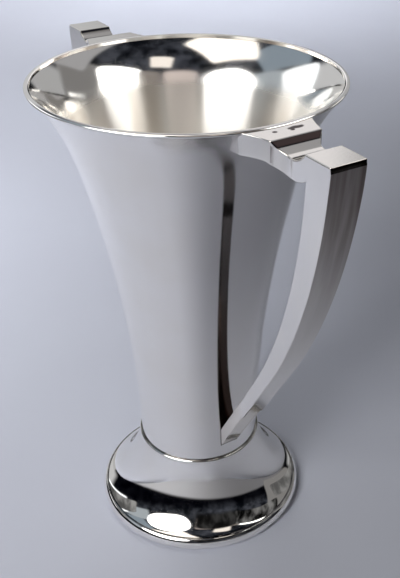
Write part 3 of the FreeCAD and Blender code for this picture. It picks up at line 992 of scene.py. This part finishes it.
# ---- studio -------------------------------------------------------------------------------------
CAMERA_AZIMUTH = math.radians(60.8)
TOWARDS_CAMERA = Vector((math.sin(CAMERA_AZIMUTH), -math.cos(CAMERA_AZIMUTH), 0.0))
SCREEN_RIGHT = Vector((math.cos(CAMERA_AZIMUTH), math.sin(CAMERA_AZIMUTH), 0.0))
UP = Vector((0.0, 0.0, 1.0))
AIM = 0.15
BAND_HEIGHT = 0.07
BAND_EDGE = 0.02
BAND_TILT = (0.15, 0.05)
BAND_COLOUR = (0.50, 0.505, 0.535)
BAND_SHADED = (0.15, 0.15, 0.16)
ROOM_DARK = (0.003, 0.004, 0.006)
ROOM_PALE = (0.055, 0.060, 0.075)
NEUTRAL = (1.0, 0.99, 0.98)
COOL = (0.96, 0.97, 1.0)


def studio_place(azimuth, distance, height):
    """A place round the cup. The azimuth is 0 towards the camera and grows to the camera's right."""
    turn = math.radians(azimuth)
    across = TOWARDS_CAMERA * math.cos(turn) + SCREEN_RIGHT * math.sin(turn)
    return across * distance + UP * height


def facing_cup(place):
    turn = (Vector((0.0, 0.0, AIM)) - place).to_track_quat("-Z", "Y").to_matrix()
    return Matrix.Translation(place) @ turn.to_4x4()


def rectangle(x, y):
    return [(-x, -y, 0), (x, -y, 0), (x, y, 0), (-x, y, 0)]


def studio_piece(name, places, faces, material):
    mesh = bpy.data.meshes.new(name)
    mesh.from_pydata(places, [], faces)
    mesh.materials.append(material)
    return new_object(name, mesh)


class Card:
    """A glowing card that only the silver sees. A flag is a dim one that hides brighter cards."""

    def __init__(self, name, azimuth, distance, height, width, tall, colour, strength, soft=0.3, corner=8.0,
                 patchy=0.0):
        self.name = name
        self.place = studio_place(azimuth, distance, height)
        self.half = (width / 2, tall / 2)
        self.colour = colour
        self.strength = strength
        self.soft = soft
        self.corner = corner
        self.patchy = patchy

    def material(self):
        material, nodes = start_material(self.name)
        share = nodes.vector("ABSOLUTE", nodes.vector("DIVIDE", nodes.where, (*self.half, 1.0)))
        across = nodes.math("POWER", nodes.part(share, "X"), self.corner)
        along = nodes.math("POWER", nodes.part(share, "Y"), self.corner)
        reach = nodes.math("POWER", nodes.math("ADD", across, along), 1.0 / self.corner)
        glow = nodes.span(reach, 1.0 - self.soft, 1.0, 1.0, 0.0)
        patches = nodes.span(cloud(nodes, 14.0, 4.0, (1.0, 0.4, 1.0)), 0.4, 0.7, 0.0, 2.0)
        level = nodes.math("ADD", 1.0 - self.patchy, nodes.times(patches, self.patchy))
        power = nodes.times(level, self.strength)
        light = nodes.add("ShaderNodeEmission", Color=(*self.colour, 1.0), Strength=power)
        clear = nodes.add("ShaderNodeBsdfTransparent")
        mixed = nodes.add("ShaderNodeMixShader", Fac=glow)
        nodes.set(mixed, "#1", clear.outputs["BSDF"])
        nodes.set(mixed, "#2", light.outputs["Emission"])
        nodes.add("ShaderNodeOutputMaterial", Surface=mixed.outputs["Shader"])
        return material

    def build(self):
        x, y = self.half
        card = studio_piece(self.name, rectangle(x, y), [(0, 1, 2, 3)], self.material())
        card.matrix_world = facing_cup(self.place)
        card.visible_camera = False
        card.visible_diffuse = False
        card.visible_shadow = False


CARDS = [
    Card("card_main", -43, 0.46, 0.42, 0.50, 0.33, (1.0, 1.0, 1.0), 5.0, soft=0.15, corner=2.4),
    Card("card_overhead_left", -52, 0.30, 0.82, 0.48, 0.40, (1.0, 0.95, 0.88), 1.4, soft=0.15),
    Card("card_left_blue", -104, 0.80, 1.00, 0.95, 0.45, (0.70, 0.85, 1.0), 0.33, soft=0.15),
    Card("card_left_low", -118, 1.00, 0.58, 0.74, 0.50, (0.93, 0.97, 1.0), 1.3, soft=0.15),
    Card("card_left_grey", -84, 1.00, 0.68, 0.65, 0.38, (0.83, 0.92, 1.0), 0.45),
    Card("card_left_wall", -155, 1.60, 0.20, 1.30, 0.50, (1.0, 1.0, 1.0), 0.42, soft=0.1),
    Card("card_right", 72, 0.60, 0.56, 0.52, 0.32, (1.0, 1.0, 0.98), 3.2, soft=0.15),
    Card("card_warm", 8, 0.60, 0.55, 0.40, 0.30, (1.0, 0.87, 0.82), 0.72, soft=0.2),
    Card("card_warm_right", 41, 0.62, 0.55, 0.26, 0.30, (1.0, 0.90, 0.82), 0.28, soft=0.2),
    Card("card_upper_warm", 28, 0.60, 0.88, 0.30, 0.20, (1.0, 0.93, 0.86), 1.0),
    Card("card_right_low", 119, 1.00, 0.38, 0.42, 0.24, (1.0, 1.0, 0.98), 1.5),
    Card("card_right_side", 110, 1.30, 0.60, 1.10, 1.20, (1.0, 0.98, 0.97), 0.20, soft=0.1),
    Card("card_right_high", 127, 0.75, 1.20, 0.90, 0.95, (0.97, 0.97, 1.0), 0.36, soft=0.15),
    Card("card_back", 177, 1.20, 1.00, 1.20, 1.10, (1.0, 0.98, 1.0), 0.85),
    Card("card_back_right", 148, 1.20, 0.50, 0.80, 0.90, (0.97, 0.98, 1.0), 0.40),
    Card("card_back_left", -150, 1.20, 0.45, 1.30, 0.90, (0.97, 0.98, 1.0), 0.55),
    Card("card_top", 180, 0.05, 0.85, 0.34, 0.34, (1.0, 0.98, 0.94), 1.3),
    Card("card_top_left", -130, 0.60, 1.60, 0.90, 0.70, (0.95, 0.98, 1.0), 0.60),
    Card("flag_right", 68, 0.30, 0.25, 0.36, 0.15, (1.0, 1.0, 1.0), 0.10, soft=0.1, patchy=1.0),
    Card("flag_right_low", 120, 0.30, 0.11, 0.32, 0.11, (1.0, 1.0, 1.0), 0.18, soft=0.1, patchy=0.5),
    Card("flag_left", -106, 0.30, 0.165, 0.28, 0.11, (1.0, 1.0, 1.0), 0.20, soft=0.1, patchy=0.6),
    Card("flag_front", 17, 0.30, 0.25, 0.38, 0.20, (1.0, 1.0, 1.0), 0.022, soft=0.35, patchy=0.8),
]


PAPER = (0.605, 0.632, 0.725, 1.0)
PAPER_SHADE = (0.585, 0.608, 0.70, 1.0)
SWEEP_NEAR = (1.5, 0.002)
SWEEP_MIDDLE = (1.82, 0.13)
SWEEP_FAR = (1.95, 0.45)
SWEEP_TOP = 2.4
SWEEP_LIT = (0.52, 0.54, 0.62, 1.0)
SWEEP_SHADE = (0.045, 0.047, 0.055, 1.0)
SWEEP_PALE = (0.50, 0.52, 0.58, 1.0)


def build_floor():
    half = 2.0
    material, nodes = start_material("floor_paper")
    tone = nodes.span(cloud(nodes, 4.0, 4.0), 0.3, 0.7, 0.0, 1.0)
    fibres = cloud(nodes, 800.0, 2.0)
    bump = nodes.add("ShaderNodeBump", Strength=0.08, Distance=0.0002, Height=fibres)
    shader = nodes.add("ShaderNodeBsdfPrincipled", Base_Color=nodes.mix(tone, PAPER, PAPER_SHADE),
                       Roughness=nodes.span(fibres, 0.3, 0.7, 0.65, 0.8), Normal=bump.outputs["Normal"])
    nodes.add("ShaderNodeOutputMaterial", Surface=shader.outputs["BSDF"])
    floor = studio_piece("floor", rectangle(half, half), [(0, 1, 2, 3)], material)


def build_sweep():
    """A glowing wall that curves up from the far floor, for views that look past the floor's edge. Its glow
    is painted light and shade.
    """
    steps = 96
    rings = []
    curve = arc_points(SWEEP_NEAR, SWEEP_MIDDLE, SWEEP_FAR, 0.05)
    for radius, z in curve + [(SWEEP_FAR[0], SWEEP_TOP)]:
        turns = [math.tau * i / steps for i in range(steps)]
        rings.append([(radius * math.cos(turn), radius * math.sin(turn), z) for turn in turns])
    faces = []
    for k in range(len(rings) - 1):
        for i in range(steps):
            a, b = k * steps + i, k * steps + (i + 1) % steps
            faces.append((a, b, b + steps, a + steps))
    material, nodes = start_material("sweep_painted_light")
    # Painted light and shade: the glow is brightest a little to the left, shaded towards the right and
    # partly towards the far left, and evenly pale higher up.
    to_right = nodes.vector("DOT_PRODUCT", direction_out(nodes), SCREEN_RIGHT)
    aside = nodes.math("ABSOLUTE", nodes.math("ADD", to_right, 0.3))
    low = nodes.mix(nodes.span(aside, 0.0, 1.2, 0.0, 1.0), SWEEP_LIT, SWEEP_SHADE)
    up = nodes.span(height_of(nodes), 0.0, 0.9, 0.0, 1.0)
    light = nodes.add("ShaderNodeEmission", Color=nodes.mix(up, low, SWEEP_PALE), Strength=1.0)
    nodes.add("ShaderNodeOutputMaterial", Surface=light.outputs["Emission"])
    sweep = studio_piece("sweep", [place for ring in rings for place in ring], faces, material)
    sweep.data.shade_smooth()
    sweep.visible_diffuse = False
    sweep.visible_glossy = False
    sweep.visible_shadow = False


def add_lamp(name, kind, colour, power, place):
    """A soft light for the floor alone: the silver sees the cards in its stead."""
    data = bpy.data.lights.new(name, kind)
    data.color = colour
    data.energy = power
    lamp = new_object(name, data)
    lamp.matrix_world = place
    lamp.visible_glossy = False
    lamp.visible_camera = False
    return data


def soft_box(name, azimuth, distance, height, size, colour, power):
    place = facing_cup(studio_place(azimuth, distance, height))
    data = add_lamp(name, "AREA", colour, power, place)
    data.shape = "DISK"
    data.size = size


def pool(name, azimuth, distance, height, cone, power):
    """A lamp that hangs over the floor and makes a soft round pool of light on it."""
    place = Matrix.Translation(studio_place(azimuth, distance, height))
    data = add_lamp(name, "SPOT", COOL, power, place)
    data.spot_size = math.radians(cone)
    data.spot_blend = 1.0
    data.shadow_soft_size = 0.3


def build_lamps():
    soft_box("box_main", -41, 0.90, 0.75, 0.45, NEUTRAL, 5.8)
    soft_box("box_low", -20, 0.70, 0.50, 0.40, NEUTRAL, 1.0)
    soft_box("box_back", -160, 1.60, 1.20, 1.00, NEUTRAL, 5.0)
    pool("pool_front", 0, 1.50, 1.20, 72, 50.0)
    pool("pool_far_front", 0, 2.40, 1.80, 95, 90.0)
    pool("pool_front_left", -50, 1.60, 1.20, 72, 70.0)
    pool("pool_front_right", 60, 1.60, 1.20, 85, 24.0)
    pool("pool_side_left", -85, 1.90, 1.40, 70, 18.0)
    pool("pool_left", -135, 0.45, 0.90, 60, 21.0)
    pool("pool_far_left", -135, 0.85, 1.20, 80, 24.0)
    pool("pool_middle", -171, 1.32, 1.60, 80, 14.0)
    pool("pool_far", 180, 1.60, 1.20, 80, 66.0)
    pool("pool_far_right", 157, 1.30, 1.40, 70, 24.0)


def build_world():
    """A dim room with a low pale band round it, highest in front of the cup and dark on the right."""
    world = bpy.data.worlds.new("studio")
    bpy.context.scene.world = world
    world.use_nodes = True
    world.cycles_visibility.diffuse = False
    nodes = Nodes(world.node_tree)
    ahead = nodes.where.node.outputs["Generated"]
    tilted = nodes.vector("DOT_PRODUCT", ahead, TOWARDS_CAMERA * BAND_TILT[0] + SCREEN_RIGHT * BAND_TILT[1])
    upward = nodes.vector("DOT_PRODUCT", ahead, UP)
    over_band = nodes.math("SUBTRACT", upward, tilted)
    band = nodes.span(over_band, BAND_HEIGHT - BAND_EDGE, BAND_HEIGHT + BAND_EDGE, 1.0, 0.0)
    patches = nodes.add("ShaderNodeTexNoise", Vector=ahead, Scale=5.0, Detail=3.0, Roughness=0.6)
    room = nodes.ramp(patches.outputs["Fac"], [(0.40, ROOM_DARK), (0.65, ROOM_PALE)])
    room = nodes.mix(nodes.span(upward, 0.25, 0.45, 0.94, 0.0), room, (0.0, 0.0, 0.001, 1.0))
    to_right = nodes.span(nodes.vector("DOT_PRODUCT", ahead, SCREEN_RIGHT), -0.9, 0.9, 0.0, 1.0)
    pale = nodes.mix(to_right, (*BAND_COLOUR, 1.0), (*BAND_SHADED, 1.0))
    colour = nodes.mix(band, room, pale)
    background = nodes.add("ShaderNodeBackground", Color=colour, Strength=1.0)
    nodes.add("ShaderNodeOutputWorld", Surface=background.outputs["Background"])


# ---- camera -------------------------------------------------------------------------------------
CAMERA_PLACE = (0.3417, -0.1909, 0.3762)
CAMERA_AHEAD = (-0.7066, 0.4613, -0.5363)
CAMERA_ROLL = 0.0048
CAMERA_LENS = 76.5
CAMERA_SHIFT = (-0.11225, 0.03925)


def build_camera():
    data = bpy.data.cameras.new("camera")
    data.sensor_fit = "HORIZONTAL"
    data.sensor_width = 36.0
    data.lens = CAMERA_LENS
    data.shift_x, data.shift_y = CAMERA_SHIFT
    data.clip_start = 0.01
    camera = new_object("camera", data)
    turn = Vector(CAMERA_AHEAD).to_track_quat("-Z", "Y").to_matrix()
    turn = turn @ Matrix.Rotation(CAMERA_ROLL, 3, "Z")
    camera.matrix_world = Matrix.Translation(CAMERA_PLACE) @ turn.to_4x4()
    bpy.context.scene.camera = camera


def main():
    build_cup(body_silver(), foot_silver(), wire_silver())
    build_handles(handle_silver())
    build_floor()
    build_sweep()
    build_lamps()
    for card in CARDS:
        card.build()
    build_world()
    build_camera()
    bpy.context.scene.view_settings.view_transform = "Standard"


main()
